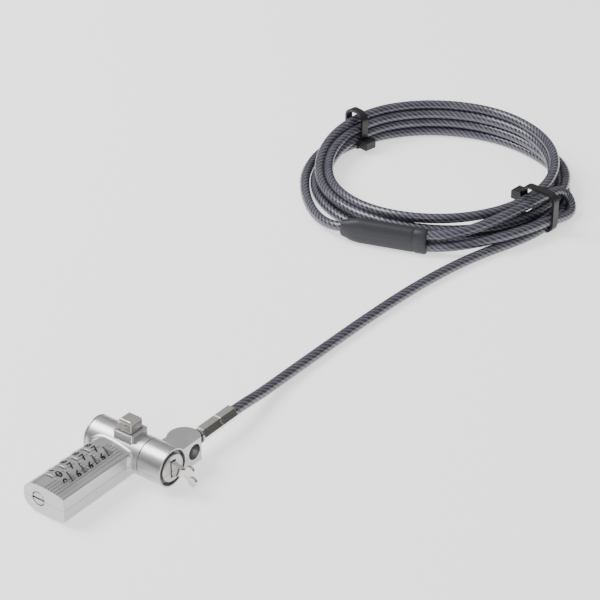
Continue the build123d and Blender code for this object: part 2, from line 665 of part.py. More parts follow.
# ================================================================ collar, stem and ferrule
with BuildPart() as swivel_collar:
    with BuildSketch(across(COLLAR_FACE_Y)):
        Circle(CYL_R)
    extrude(amount=-COLLAR_LEN)
    with BuildSketch(LUG_PLAN.offset(LUG_LOW)):
        with BuildLine():
            lug_end = (LUG_X, COLLAR_FACE_Y + COLLAR_LEN)
            Polyline(
                (LUG_X + sqrt(LUG_R**2 - (LUG_Y - COLLAR_FACE_Y) ** 2), COLLAR_FACE_Y),
                (0, COLLAR_FACE_Y),
                (0, COLLAR_FACE_Y + COLLAR_LEN),
                (LUG_X - 3.5, COLLAR_FACE_Y + COLLAR_LEN - 0.4),
                (LUG_X, LUG_Y + LUG_R - 0.6),
                close=True,
            )
        make_face()
        with Locations((LUG_X, LUG_Y)):
            Circle(LUG_R)
        with Locations((LUG_X, COLLAR_FACE_Y)):
            Rectangle(20, 4, align=(Align.CENTER, Align.MAX), mode=Mode.SUBTRACT)
    extrude(amount=LUG_TOP - LUG_LOW)
    # bore on the nose, groove for the retaining ring, socket and neck of the stem
    with BuildSketch(across(COLLAR_FACE_Y)):
        Circle(NOSE_R + RUN)
    extrude(amount=-COLLAR_LEN, mode=Mode.SUBTRACT)
    with BuildSketch(across(COLLAR_FACE_Y)):
        Circle(GROOVE_R)
    extrude(amount=-GROOVE_DEPTH, mode=Mode.SUBTRACT)
    with BuildSketch(lug_across(COLLAR_FACE_Y)):
        with Locations((SOCKET_X, 0)):
            Circle(SOCKET_R)
    extrude(amount=-(STEM_Y + SOCKET_R - COLLAR_FACE_Y), mode=Mode.SUBTRACT)
    with BuildSketch(stem_section(SOCKET_X)):
        Circle(STEM_R + RUN)
    extrude(amount=STEM_WALL_X - SOCKET_X + 1, mode=Mode.SUBTRACT)
save(swivel_collar, "swivel_collar")

with BuildPart() as swivel_stem:
    with BuildSketch(stem_section(SOCKET_X)):
        Circle(STEM_R)
    extrude(amount=FERRULE_X + STEM_TAIL - SOCKET_X)
    with Locations(stem_section(SOCKET_X)):
        Sphere(HEAD_R)
    with BuildSketch(stem_section(FERRULE_X - 1.0)):
        Circle(SHOULDER_RING_R)
    extrude(amount=1.0)
    chamfer(swivel_stem.edges().filter_by(GeomType.CIRCLE).filter_by(
        lambda e: abs(e.radius - SHOULDER_RING_R) < 0.01), 0.2)
save(swivel_stem, "swivel_stem")

with BuildPart() as stem_washer:
    with BuildSketch(stem_section(FERRULE_X - 1.0 - WASHER_T)):
        Circle(WASHER_R)
        Circle(STEM_R, mode=Mode.SUBTRACT)
    extrude(amount=WASHER_T)
save(stem_washer, "stem_washer")

with BuildPart() as ferrule:
    with BuildSketch(stem_section(FERRULE_X)):
        RegularPolygon(FERRULE_AF / 2, 6, major_radius=False)
    extrude(amount=FERRULE_LEN)
    chamfer(ferrule.faces().sort_by(Axis.X)[0].edges(), 0.3)
    chamfer(ferrule.faces().sort_by(Axis.X)[-1].edges(), 0.3)
    with BuildSketch(stem_section(FERRULE_X + FERRULE_LEN * 0.52)):
        Circle(FERRULE_AF)
        RegularPolygon(FERRULE_AF / 2 - FERRULE_GROOVE, 6, major_radius=False, mode=Mode.SUBTRACT)
    extrude(amount=0.6, mode=Mode.SUBTRACT)
    with BuildSketch(stem_section(FERRULE_X)):
        Circle(STEM_R)
    extrude(amount=STEM_TAIL, mode=Mode.SUBTRACT)
    with BuildSketch(stem_section(FERRULE_X + STEM_TAIL)):
        Circle(CABLE_R)
    extrude(amount=FERRULE_LEN - STEM_TAIL, mode=Mode.SUBTRACT)
save(ferrule, "ferrule")


# ================================================================ cable
def tube(points, label):
    """A length of cable along straight runs joined by tangent arcs, as large as they fit."""
    vectors = [Vector(*p) for p in points]
    radii = []
    for before, here, after in zip(vectors, vectors[1:], vectors[2:]):
        turn = (here - before).get_angle(after - here)
        shorter = min((here - before).length, (after - here).length)
        radii.append(0.45 * shorter / tan(radians(turn / 2)))
    print(label, "arc radii:", [round(r, 1) for r in radii])
    first = vectors[1] - vectors[0]
    with BuildPart() as cable:
        with BuildLine() as path:
            FilletPolyline(*points, radius=radii)
        with BuildSketch(Plane(origin=vectors[0], z_dir=first)):
            Circle(CABLE_R)
        sweep()
    length = sum(edge.length for edge in path.edges())
    ratio = cable.part.volume / (length * pi * CABLE_R**2)
    print(label, "length", round(length, 1), "volume ratio", round(ratio, 4))
    save(cable, label)


cable_start = STEM_DIR * (FERRULE_X + STEM_TAIL) + Vector(0, STEM_Y, 0)
cable_exit = STEM_DIR * (FERRULE_X + FERRULE_LEN) + Vector(0, STEM_Y, 0)
RUN_POINTS = [
    tuple(cable_start),
    tuple(cable_exit + Vector(5.4, 0.2, -0.3)),
    (58.5, 7.2, -2.8),
    (76.0, 8.8, -4.5),
    (98.0, 9.3, LIE_Z),
    (125.0, 9.0, LIE_Z),
    (152.0, 8.1, LIE_Z),
    (178.0, 5.6, LIE_Z),
    (201.0, 0.9, LIE_Z),
    (219.0, -5.4, LIE_Z),
    (236.0, -9.0, LIE_Z),
]
tube(RUN_POINTS, "cable_run")

# strand that leaves the coil on the left and enters the sleeve
sleeve_dir = (Vector(*SLEEVE_TO) - Vector(*SLEEVE_FROM)).normalized()
STRAND_Z = FLOOR_Z + SLEEVE_H / 2
TAIL_POINTS = [
    (235.0, 109.4, LIE_Z + 6.4),
    (222.0, 106.2, LIE_Z + 3.6),
    (209.2, 99.6, LIE_Z + 1.4),
    (197.8, 90.2, LIE_Z + 0.3),
    (188.0, 79.0, LIE_Z + 0.4),
    (181.4, 67.6, LIE_Z + 1.6),
    (SLEEVE_FROM[0], SLEEVE_FROM[1], STRAND_Z),
]
tube(TAIL_POINTS, "cable_tail")

# loop that passes round the anchor, out of the sleeve and back
EYE_POINTS = [
    (SLEEVE_TO[0], SLEEVE_TO[1], STRAND_HIGH_Z),
    (197.6, 11.2, 2.4),
    (207.6, 4.9, 4.0),
    (221.4, 0.2, 5.2),
    (235.6, -2.4, 5.4),
    (248.0, -3.4, 4.6),
    (257.0, -4.2, 3.4),
    (260.1, -7.5, -0.9),
    (257.0, -10.8, LIE_Z),
    (248.4, -11.4, -4.4),
    (236.4, -10.3, -1.3),
    (222.6, -7.0, -0.9),
    (208.4, -0.6, -1.0),
    (197.4, 8.8, -2.4),
    (SLEEVE_TO[0], SLEEVE_TO[1], STRAND_LOW_Z),
]
tube(EYE_POINTS, "cable_eye")

with BuildPart() as cable_coil:
    with BuildSketch(Plane.XZ.offset(-COIL_C[1])):
        with Locations((COIL_C[0] + (COIL_IN_R + COIL_OUT_R) / 2, (FLOOR_Z + COIL_TOP_Z) / 2)):
            RectangleRounded(COIL_OUT_R - COIL_IN_R, COIL_TOP_Z - FLOOR_Z, COIL_EDGE)
    revolve(axis=Axis((*COIL_C, 0), (0, 0, 1)))
save(cable_coil, "cable_coil")

# moulded sleeve that closes the end eye
sleeve_len = (Vector(*SLEEVE_TO) - Vector(*SLEEVE_FROM)).length
SLEEVE_PLANE = Plane(origin=(*SLEEVE_FROM, FLOOR_Z + SLEEVE_H / 2), x_dir=(sleeve_dir.Y, -sleeve_dir.X, 0),
                     z_dir=sleeve_dir)
with BuildPart() as eye_sleeve:
    with BuildSketch(SLEEVE_PLANE):
        SlotOverall(CABLE_D + 2.6, CABLE_D + 2.0, rotation=90)
    with BuildSketch(SLEEVE_PLANE.offset(SLEEVE_TAPER)):
        SlotOverall(SLEEVE_H, SLEEVE_W, rotation=90)
    loft()
    with BuildSketch(SLEEVE_PLANE.offset(SLEEVE_TAPER)):
        SlotOverall(SLEEVE_H, SLEEVE_W, rotation=90)
    extrude(amount=sleeve_len - SLEEVE_TAPER)
save(eye_sleeve, "eye_sleeve")


def tie(angle, inner, outer, low, high, head_z, label):
    """A nylon tie around the coil: band, square head on the inner side, cut tail."""
    out = Vector(cos(radians(angle)), sin(radians(angle)), 0)
    along = Vector(-out.Y, out.X, 0)
    section = Plane(origin=(*COIL_C, 0), x_dir=out, z_dir=along)
    flip = 1 if section.y_dir.Z > 0 else -1
    middle = ((inner + outer) / 2, flip * (low + high) / 2)
    with BuildPart() as band:
        with BuildSketch(section):
            with Locations(middle):
                RectangleRounded(outer - inner, high - low, 4.4)
                RectangleRounded(outer - inner - 2 * TIE_T, high - low - 2 * TIE_T, 3.4, mode=Mode.SUBTRACT)
        extrude(amount=TIE_W / 2, both=True)
        with BuildSketch(section):
            with Locations((inner - TIE_HEAD[1] / 2 + 0.8, flip * head_z)):
                RectangleRounded(TIE_HEAD[1], TIE_HEAD[2], 0.6)
        extrude(amount=TIE_HEAD[0] / 2, both=True)
    save(band, label)


tie(78.4, 47.4, 59.2, FLOOR_Z, COIL_TOP_Z + 1.2, FLOOR_Z + 4.0, "tie_left")
tie(264.6, 47.0, 65.0, FLOOR_Z, COIL_TOP_Z + 1.2, 5.4, "tie_right")
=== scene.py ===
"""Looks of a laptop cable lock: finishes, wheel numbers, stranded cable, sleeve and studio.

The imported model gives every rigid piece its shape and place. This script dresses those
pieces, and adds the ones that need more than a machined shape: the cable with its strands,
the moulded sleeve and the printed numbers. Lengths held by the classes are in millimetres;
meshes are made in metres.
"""

import logging
from dataclasses import dataclass, field
from enum import Enum
from math import cos, pi, radians, sin

import bmesh
import bpy
import numpy as np
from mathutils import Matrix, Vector

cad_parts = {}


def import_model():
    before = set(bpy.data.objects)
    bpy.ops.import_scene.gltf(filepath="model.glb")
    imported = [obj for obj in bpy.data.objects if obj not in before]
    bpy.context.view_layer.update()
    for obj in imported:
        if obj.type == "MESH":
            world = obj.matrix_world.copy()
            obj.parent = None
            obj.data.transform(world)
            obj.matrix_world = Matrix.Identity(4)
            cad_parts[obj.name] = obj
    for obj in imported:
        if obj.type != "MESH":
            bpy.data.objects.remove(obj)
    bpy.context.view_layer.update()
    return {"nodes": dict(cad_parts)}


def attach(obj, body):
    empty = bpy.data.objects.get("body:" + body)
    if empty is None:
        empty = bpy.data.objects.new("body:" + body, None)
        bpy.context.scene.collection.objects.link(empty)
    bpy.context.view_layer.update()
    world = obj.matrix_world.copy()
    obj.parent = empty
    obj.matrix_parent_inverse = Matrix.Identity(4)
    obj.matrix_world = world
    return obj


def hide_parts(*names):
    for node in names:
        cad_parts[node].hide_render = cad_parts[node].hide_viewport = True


MM = 0.001
STRANDS = 6
LOG = logging.getLogger("cable_lock")


# ---------------------------------------------------------------- shader maths
class Link:
    """An output socket or a number that takes part in shader arithmetic."""

    def __init__(self, graph: "Graph", value: object) -> None:
        """Hold the value.

        Args:
            graph: The node tree that new Math nodes go into.
            value: An output socket, or a plain number.
        """
        self.graph = graph
        self.value = value

    def _math(self, operation: str, first: object, second: object = 0.0) -> "Link":
        """Add one Math node and return its result."""
        return self.graph.node("ShaderNodeMath", {"operation": operation}, {0: first, 1: second})

    def __add__(self, other: object) -> "Link":
        """Sum of two values."""
        return self._math("ADD", self, other)

    __radd__ = __add__

    def __sub__(self, other: object) -> "Link":
        """This value less the other."""
        return self._math("SUBTRACT", self, other)

    def __rsub__(self, other: object) -> "Link":
        """The other value less this."""
        return self._math("SUBTRACT", other, self)

    def __mul__(self, other: object) -> "Link":
        """Product of two values."""
        return self._math("MULTIPLY", self, other)

    __rmul__ = __mul__

    def sine(self) -> "Link":
        """Sine of the value, in radians."""
        return self._math("SINE", self)

    def size(self) -> "Link":
        """Value without its sign."""
        return self._math("ABSOLUTE", self)

    def below(self, limit: object) -> "Link":
        """One where the value is under the limit, and zero elsewhere."""
        return self._math("LESS_THAN", self, limit)


class Graph:
    """Node tree of one material, ending in a Principled shader, or of the room."""

    def __init__(self, name: str = "", tree: bpy.types.NodeTree | None = None) -> None:
        """Start an empty material, or take up a tree that is there already.

        Args:
            name: The new material's name.
            tree: A tree to add to, such as the room's.
        """
        self.tree = tree
        if tree is None:
            self.material = bpy.data.materials.new(name)
            self.material.use_nodes = True
            self.tree = self.material.node_tree
            self.tree.nodes.clear()
            self.shader = self.tree.nodes.new("ShaderNodeBsdfPrincipled")
            end = self.tree.nodes.new("ShaderNodeOutputMaterial")
            self.tree.links.new(self.shader.outputs["BSDF"], end.inputs["Surface"])

    def put(self, socket: bpy.types.NodeSocket, value: object) -> None:
        """Set a socket to a number or colour, or link it.

        Args:
            socket: The input to fill.
            value: A Link, or a plain value.
        """
        if isinstance(value, Link):
            value = value.value
        if isinstance(value, bpy.types.NodeSocket):
            self.tree.links.new(value, socket)
        else:
            socket.default_value = value

    def node(
        self,
        kind: str,
        settings: dict | None = None,
        inputs: dict | None = None,
        output: object = 0,
    ) -> Link:
        """Add a node: its settings first, then the values or links of its sockets.

        Args:
            kind: The node's type name.
            settings: Properties of the node, and "stops" for a colour ramp.
            inputs: Socket name or number, to a value or a Link.
            output: The output socket that is handed back.

        Returns:
            The chosen output as a Link.
        """
        made = self.tree.nodes.new(kind)
        for key, value in (settings or {}).items():
            if key == "stops":
                ramp = made.color_ramp
                while len(ramp.elements) < len(value):
                    ramp.elements.new(0.5)
                for element, (place, colour) in zip(ramp.elements, value):
                    element.position = place
                    element.color = colour
            else:
                setattr(made, key, value)
        for key, value in (inputs or {}).items():
            self.put(made.inputs[key], value)
        return Link(self, made.outputs[output])

    def coords(self, which: str = "Object") -> Link:
        """Texture coordinates of the piece, Object or UV."""
        return self.node("ShaderNodeTexCoord", output=which)

    def noise(self, scale: float, detail: float = 3.0, rough: float = 0.55) -> Link:
        """Soft noise on Object coordinates, from 0 to 1."""
        inputs = {"Vector": self.coords(), "Scale": scale, "Detail": detail, "Roughness": rough}
        return self.node("ShaderNodeTexNoise", None, inputs)

    def mix(self, share: object, low: object, high: object) -> Link:
        """Colour between two colours or links, by a share from 0 to 1."""
        return self.node("ShaderNodeMix", {"data_type": "RGBA"}, {0: share, 6: low, 7: high}, 2)

    def ramp(self, value: Link, stops: list) -> Link:
        """Colour ramp over a value."""
        return self.node("ShaderNodeValToRGB", {"stops": stops}, {0: value})

    def edges(self, radius_mm: float) -> Link:
        """Normal that rounds sharp machined edges by a small radius."""
        return self.node("ShaderNodeBevel", {"samples": 4}, {"Radius": radius_mm * MM})

    def bump(self, height: Link, depth_mm: float, normal: Link | None = None) -> Link:
        """Bump a normal by a height from 0 to 1.

        Args:
            height: The height, as a share of the depth.
            depth_mm: How deep the bump is.
            normal: The normal that it is laid over; the surface's own if it is left out.

        Returns:
            The bumped normal.
        """
        inputs = {"Height": height, "Distance": depth_mm * MM, "Strength": 1.0}
        if normal is not None:
            inputs["Normal"] = normal
        return self.node("ShaderNodeBump", None, inputs)

    def finish(self, **sockets: object) -> bpy.types.Material:
        """Fill the shader's sockets.

        Args:
            sockets: Values or links by socket name, with underscores standing for spaces.

        Returns:
            The finished material.
        """
        for key, value in sockets.items():
            self.put(self.shader.inputs[key.replace("_", " ")], value)
        return self.material


def grey(value: float) -> tuple:
    """Opaque neutral colour of one brightness."""
    return (value, value, value, 1.0)


def dimmed(colour: tuple, share: float) -> tuple:
    """Opaque colour at a share of its brightness."""
    return tuple(share * part for part in colour[:3]) + (1.0,)


def placed(name: str, data: bpy.types.ID) -> bpy.types.Object:
    """Put a mesh, curve, lamp or camera into the scene as an object at the origin."""
    thing = bpy.data.objects.new(name, data)
    bpy.context.scene.collection.objects.link(thing)
    return thing


# ---------------------------------------------------------------- finishes
@dataclass(frozen=True)
class SatinCasting:
    """Satin silver plate on a die-casting, with its fine grain and the parting line."""

    colour: tuple = (0.56, 0.56, 0.572, 1.0)
    line_z: float | None = None
    line_half: float = 0.07
    line_tone: float = 0.10
    grain_mm: float = 0.010
    edge_mm: float = 0.22

    def material(self, name: str) -> bpy.types.Material:
        """Build the finish: a fine grain, slow cloudiness, and a dark line at one height.

        Args:
            name: The material's name.

        Returns:
            The material.
        """
        g = Graph(name)
        cloud = g.noise(140.0, 2.0)
        grain = g.noise(5200.0, 2.0)
        tone = g.mix(cloud, dimmed(self.colour, 0.86), self.colour)
        relief = grain
        if self.line_z is not None:
            height = g.node("ShaderNodeSeparateXYZ", None, {0: g.coords()}, 2)
            line = (height - self.line_z * MM).size().below(self.line_half * MM)
            tone = g.mix(line, tone, grey(self.line_tone))
            relief = grain - line * 6.0
        return g.finish(
            Base_Color=tone,
            Metallic=0.9,
            Roughness=cloud * 0.12 + 0.26,
            Normal=g.bump(relief, self.grain_mm, g.edges(self.edge_mm)),
        )


@dataclass(frozen=True)
class PolishedNickel:
    """Bright nickel plate with faint ripples and softened edges."""

    tone: tuple = (0.66, 0.64, 0.60, 1.0)
    rough: float = 0.13

    def material(self, name: str) -> bpy.types.Material:
        """Build the finish: warm metal whose gloss varies a little.

        Args:
            name: The material's name.

        Returns:
            The material.
        """
        g = Graph(name)
        cloud = g.noise(260.0, 3.0)
        colour = g.mix(cloud, dimmed(self.tone, 0.9), self.tone)
        return g.finish(
            Base_Color=colour,
            Metallic=1.0,
            Roughness=cloud * 0.10 + (self.rough - 0.04),
            Normal=g.bump(g.noise(900.0, 2.0), 0.012, g.edges(0.18)),
        )


@dataclass(frozen=True)
class PlainSteel:
    """Bare steel with drawn streaks along one axis."""

    tone: tuple = (0.52, 0.52, 0.53, 1.0)
    stretch: tuple = (1.0, 12.0, 12.0)

    def material(self, name: str) -> bpy.types.Material:
        """Build the finish: noise stretched along the drawing direction.

        Args:
            name: The material's name.

        Returns:
            The material.
        """
        g = Graph(name)
        place = g.node("ShaderNodeMapping", None, {"Vector": g.coords(), "Scale": self.stretch})
        inputs = {"Vector": place, "Scale": 320.0, "Detail": 4.0}
        streak = g.node("ShaderNodeTexNoise", None, inputs)
        return g.finish(
            Base_Color=g.mix(streak, dimmed(self.tone, 0.72), self.tone),
            Metallic=1.0,
            Roughness=streak * 0.2 + 0.2,
            Normal=g.bump(streak, 0.01, g.edges(0.1)),
        )


@dataclass(frozen=True)
class VinylCable:
    """Smoky clear vinyl over steel strands and fine wires, with painted highlight on the crests
    and painted shade in the gaps.
    """

    # crest colour: the strands' steel tone seen through the vinyl, lightened by a painted
    # highlight
    crest: tuple = (0.20, 0.195, 0.26, 1.0)
    middle: tuple = (0.052, 0.050, 0.070, 1.0)
    # gap colour: near-black painted shade between the strands
    gap: tuple = (0.004, 0.004, 0.006, 1.0)
    wires: int = 3
    wire_lean: float = 5.2

    def material(self, name: str) -> bpy.types.Material:
        """Build the finish on UV: U runs once round the cable, and the mesh itself twists.

        The crest mask is half of 1 + cos(2 pi strands U). The fine wires are a sine with
        several waves to each strand, which leans along the cable by V in millimetres.

        Args:
            name: The material's name.

        Returns:
            The material.
        """
        g = Graph(name)
        around = g.node("ShaderNodeSeparateXYZ", None, {0: g.coords("UV")}, 0)
        along = g.node("ShaderNodeSeparateXYZ", None, {0: g.coords("UV")}, 1)
        turn = around * (2 * pi * STRANDS)
        # crest mask: the strand relief, which also places the painted highlight in the colour
        crest = (turn + pi / 2).sine() * 0.5 + 0.5
        wires = (turn * self.wires + along * self.wire_lean).sine() * 0.5 + 0.5
        cloud = g.noise(150.0, 3.0)
        share = crest * 0.46 + wires * 0.34 + cloud * 0.36 - 0.12
        # colour ramp: painted shade in the strand gaps, the vinyl's middle tone, then crests
        # lightened by a painted highlight
        colour = g.ramp(share, [(0.10, self.gap), (0.42, self.middle), (0.92, self.crest)])
        return g.finish(
            Base_Color=colour,
            Metallic=0.25,
            Roughness=0.44 - crest * 0.10,
            Normal=g.bump(crest * 0.7 + wires * 0.3, 0.05),
            Coat_Weight=0.6,
            Coat_Roughness=0.16,
        )


@dataclass(frozen=True)
class MouldedVinyl:
    """Slate black moulding with a fine spark texture and slight clouding."""

    low: tuple = (0.013, 0.013, 0.018, 1.0)
    high: tuple = (0.026, 0.026, 0.035, 1.0)
    rough: float = 0.5
    grain_mm: float = 0.02

    def material(self, name: str) -> bpy.types.Material:
        """Build the finish: two noises, one for colour and one for the skin.

        Args:
            name: The material's name.

        Returns:
            The material.
        """
        g = Graph(name)
        cloud = g.noise(90.0, 3.0)
        return g.finish(
            Base_Color=g.mix(cloud, self.low, self.high),
            Roughness=cloud * 0.14 + (self.rough - 0.07),
            Normal=g.bump(g.noise(2600.0, 2.0), self.grain_mm),
        )


@dataclass(frozen=True)
class FilledPaint:
    """Black paint filled into the cast numbers."""

    def material(self, name: str) -> bpy.types.Material:
        """Build the finish: near black with a little dust.

        Args:
            name: The material's name.

        Returns:
            The material.
        """
        g = Graph(name)
        dust = g.noise(1500.0, 3.0)
        colour = g.mix(dust, grey(0.004), grey(0.014))
        return g.finish(Base_Color=colour, Roughness=dust * 0.2 + 0.45)


class Finish(Enum):
    """Finishes that the pieces are given."""

    BODY = "cast_body"
    WHEEL = "cast_wheel"
    BRIGHT = "polished_nickel"
    STEEL = "plain_steel"
    DARK_STEEL = "oiled_steel"
    BRASS = "turned_brass"
    CABLE = "vinyl_cable"
    SLEEVE = "moulded_sleeve"
    NYLON = "nylon_tie"
    INK = "number_paint"


class Palette:
    """Makes each finish once and hands it to pieces."""

    RECIPES: dict = {
        Finish.BODY: SatinCasting(line_z=-1.1),
        Finish.WHEEL: SatinCasting(colour=(0.58, 0.58, 0.59, 1.0)),
        Finish.BRIGHT: PolishedNickel(),
        Finish.STEEL: PlainSteel(),
        Finish.DARK_STEEL: PlainSteel(tone=(0.17, 0.155, 0.145, 1.0), stretch=(6.0, 1.0, 6.0)),
        Finish.BRASS: PlainSteel(tone=(0.66, 0.50, 0.24, 1.0)),
        Finish.CABLE: VinylCable(),
        Finish.SLEEVE: MouldedVinyl(),
        Finish.NYLON: MouldedVinyl(
            low=(0.003, 0.003, 0.004, 1.0),
            high=(0.008, 0.008, 0.010, 1.0),
            rough=0.42,
            grain_mm=0.006,
        ),
        Finish.INK: FilledPaint(),
    }

    def __init__(self) -> None:
        """Start with no material made."""
        self.made: dict[Finish, bpy.types.Material] = {}

    def dress(self, piece: bpy.types.Object, finish: Finish) -> None:
        """Give a piece one finish all over.

        Args:
            piece: The object to dress.
            finish: Which finish it gets.
        """
        if finish not in self.made:
            self.made[finish] = self.RECIPES[finish].material(finish.value)
        piece.data.materials.clear()
        piece.data.materials.append(self.made[finish])


# ---------------------------------------------------------------- surfaces
class Surface:
    """A grid of points with quads between them, made into a mesh object."""

    def __init__(self, points: np.ndarray, ring: bool = True, capped: bool = True) -> None:
        """Take the grid.

        Args:
            points: Millimetre points of shape (rows, columns, 3).
            ring: The last column joins the first.
            capped: Both end rows are closed by a fan round their middle.
        """
        self.points = points
        self.ring = ring
        self.capped = capped

    def build(self, name: str, along: np.ndarray | None = None) -> bpy.types.Object:
        """Make the mesh, with UV running round the columns and along the rows.

        A quad of row r and column c joins (r, c), (r, c+1), (r+1, c+1), (r+1, c). Its U is the
        column over the column count, so it never wraps back. If the signed volume, a sixth of
        the sum of each quad's two triple products, is negative, every face is turned over.

        Args:
            name: The piece's name.
            along: V of each row; the row's share of the whole if it is left out.

        Returns:
            The new object, at the origin.
        """
        rows, cols, _ = self.points.shape
        along = np.linspace(0, 1, rows) if along is None else along
        flat = self.points.reshape(-1, 3) * MM
        spans = cols if self.ring else cols - 1
        r, c = np.meshgrid(np.arange(rows - 1), np.arange(spans), indexing="ij")
        r, c = r.ravel(), c.ravel()
        here, across = r * cols + c, r * cols + (c + 1) % cols
        quads = np.stack([here, across, across + cols, here + cols], 1)
        u = np.stack([c, c + 1, c + 1, c], 1) / cols
        v = np.stack([along[r], along[r], along[r + 1], along[r + 1]], 1)
        faces, uv = quads.tolist(), np.stack([u, v], -1).reshape(-1, 2)
        if self.capped:
            for row in (0, rows - 1):
                hub = np.full(cols, len(flat))
                flat = np.vstack([flat, self.points[row].mean(0)[None] * MM])
                a = row * cols + np.arange(cols)
                b = row * cols + (np.arange(cols) + 1) % cols
                faces += np.stack([hub, b, a] if row == 0 else [hub, a, b], 1).tolist()
                uv = np.vstack([uv, np.tile([[0.5, along[row]]], (3 * cols, 1))])
        p1, p2, p3, p4 = (flat[quads[:, k]] for k in range(4))
        volume = (p1 * (np.cross(p2, p3) + np.cross(p3, p4))).sum()
        mesh = bpy.data.meshes.new(name)
        mesh.from_pydata(flat.tolist(), [], faces)
        layer = mesh.uv_layers.new(name="UVMap")
        layer.data.foreach_set("uv", uv.astype(np.float32).ravel())
        mesh.polygons.foreach_set("use_smooth", np.ones(len(faces), bool))
        if self.ring and volume < 0:
            mesh.flip_normals()
        mesh.update()
        return placed(name, mesh)


def sweep(centres: np.ndarray, profile: np.ndarray, turn: np.ndarray) -> np.ndarray:
    """Carry a closed profile along a path.

    The side direction is the tangent crossed with +Z, and the rise is the side crossed with
    the tangent, so a profile point (p, q) sits at centre + p side + q rise. Each ring is first
    turned in its own plane.

    Args:
        centres: Ring centres, shape (n, 3).
        profile: Profile points, shape (m, 2) or (n, m, 2).
        turn: Angle of each ring about the path, shape (n,).

    Returns:
        Points of shape (n, m, 3).
    """
    tangent = np.gradient(centres, axis=0)
    tangent /= np.linalg.norm(tangent, axis=1, keepdims=True)
    side = np.cross(tangent, np.array([0.0, 0.0, 1.0]))
    side /= np.linalg.norm(side, axis=1, keepdims=True)
    rise = np.cross(side, tangent)
    profile = np.broadcast_to(profile, (len(centres),) + profile.shape[-2:])
    c, s = np.cos(turn)[:, None], np.sin(turn)[:, None]
    p = profile[..., 0] * c - profile[..., 1] * s
    q = profile[..., 0] * s + profile[..., 1] * c
    return centres[:, None] + p[..., None] * side[:, None] + q[..., None] * rise[:, None]


# ---------------------------------------------------------------- camera, light and floor
@dataclass
class Studio:
    """Plain white table, soft light and a long lens."""

    spot: tuple = (-442.5, -389.2, 422.1)
    yaw: float = 37.0
    pitch: float = 31.0
    lens: float = 123.0
    floor_z: float = -7.4
    room_light: float = 0.6
    room_stops: tuple = ((0.0, 0.10), (0.18, 0.22), (0.5, 0.95), (1.0, 1.35))
    floor_glow: float = 1.0
    floor_half: float = 4000.0
    boxes: tuple = (
        ("key", (-0.15, 0.85, 1.0), (0.1, 0.03, 0.0), 0.7, 18.0),
        ("front", (-0.95, -0.25, 0.55), (-0.01, 0.02, 0.0), 0.45, 2.2),
    )

    def camera(self) -> None:
        """Place the camera: yaw is from +X towards +Y, pitch is below level."""
        data = bpy.data.cameras.new("long_lens")
        data.lens = self.lens
        data.sensor_width = 36.0
        data.clip_start, data.clip_end = 0.01, 20.0
        eye = placed("long_lens", data)
        a, b = radians(self.yaw), radians(self.pitch)
        look = Vector((cos(a) * cos(b), sin(a) * cos(b), -sin(b)))
        eye.location = Vector(self.spot) * MM
        eye.rotation_euler = look.to_track_quat("-Z", "Y").to_euler()
        bpy.context.scene.camera = eye

    def lamp(self, name: str, place: tuple, aim: tuple, size: float, power: float) -> None:
        """Add one square soft box.

        Args:
            name: The lamp's name.
            place: Where it hangs, in metres.
            aim: The point it faces, in metres.
            size: Its side, in metres.
            power: Watts.
        """
        data = bpy.data.lights.new(name, "AREA")
        data.shape, data.size, data.energy = "SQUARE", size, power
        box = placed(name, data)
        box.location = place
        box.rotation_euler = (Vector(aim) - Vector(place)).to_track_quat("-Z", "Y").to_euler()

    def build(self) -> None:
        """Lay the floor, light it and light the room."""
        for box in self.boxes:
            self.lamp(*box)
        reach = np.array([-self.floor_half, self.floor_half])
        x, y = np.meshgrid(reach, reach, indexing="ij")
        points = np.dstack([x, y, np.full((2, 2), self.floor_z)])
        floor = Surface(points, ring=False, capped=False).build("floor")
        paper = Graph("white_table").finish(
            Base_Color=grey(0.9),
            Roughness=0.8,
            Emission_Color=grey(1.0),
            Emission_Strength=self.floor_glow,
        )
        floor.data.materials.append(paper)
        world = bpy.data.worlds.new("room")
        world.use_nodes = True
        room = Graph(tree=world.node_tree)
        rise = room.node("ShaderNodeSeparateXYZ", None, {0: room.coords("Generated")}, 2)
        glow = room.ramp(rise, [(place, grey(tone)) for place, tone in self.room_stops])
        sky = world.node_tree.nodes["Background"]
        room.put(sky.inputs["Color"], glow)
        room.put(sky.inputs["Strength"], self.room_light)
        bpy.context.scene.world = world


